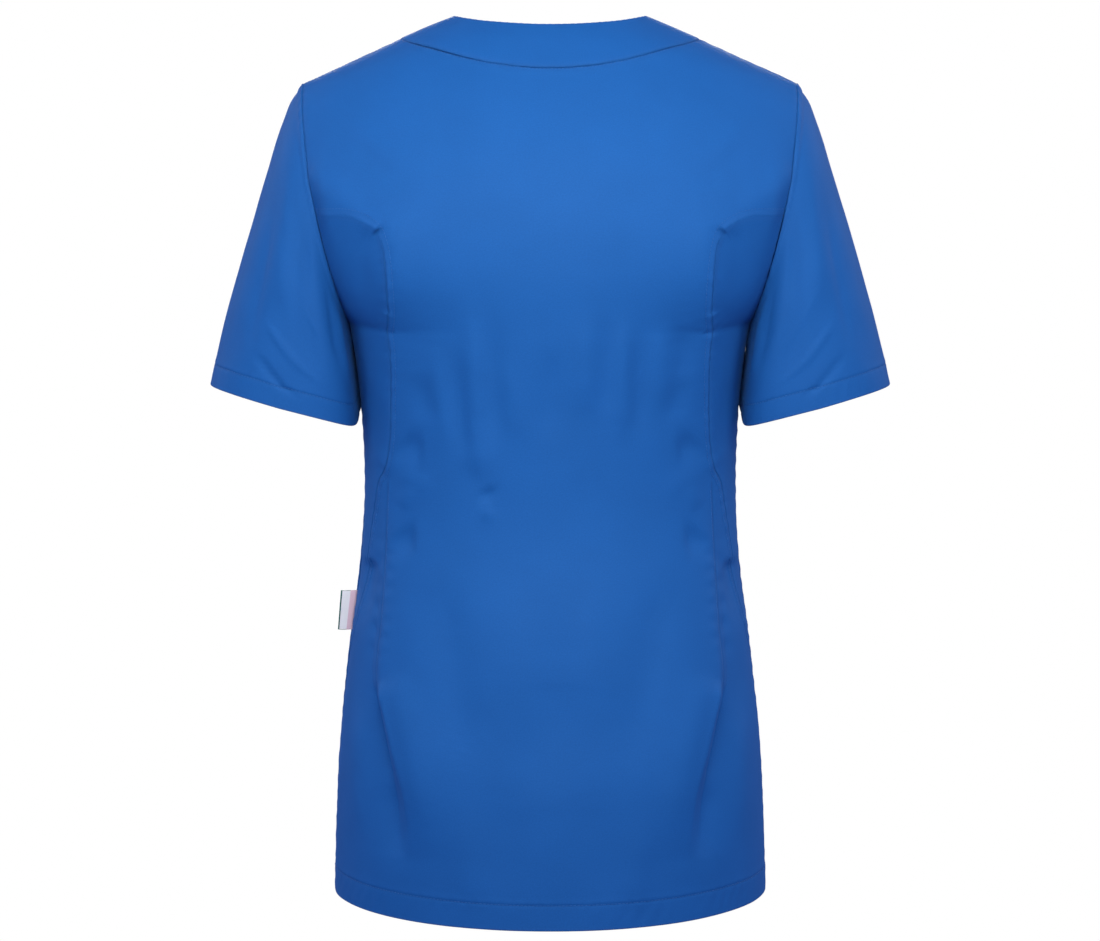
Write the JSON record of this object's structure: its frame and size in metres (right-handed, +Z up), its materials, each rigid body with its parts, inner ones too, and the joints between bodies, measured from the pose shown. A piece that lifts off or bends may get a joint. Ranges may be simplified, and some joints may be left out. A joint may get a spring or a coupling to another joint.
{
  "type": "scrub top",
  "caption": "Short-sleeved pull-on scrub top with a wide V neckband, curved side-back seams and a sewn tuck in each half of the back, filled out as worn.",
  "frame": {"origin": "middle of the shoulder line, where the wearer's shoulders carry the top, level with the outer ends of the back neck seam", "axes": "+Z up the wearer's body, the front faces -Y and the back +Y, +X is the wearer's left"},
  "size_m": [0.542, 0.2675, 0.7119],
  "materials": {
    "cloth": "smooth fine twill, matt with a slight sheen",
    "label_tape": "smooth woven tape"
  },
  "bodies": {
    "root": {"back_centre": "cloth", "side_back_left": "cloth", "side_back_right": "cloth", "front": "cloth", "sleeve_left": "cloth", "sleeve_right": "cloth", "neckband": "cloth", "side_label": "label_tape"}
  },
  "joints": []
}
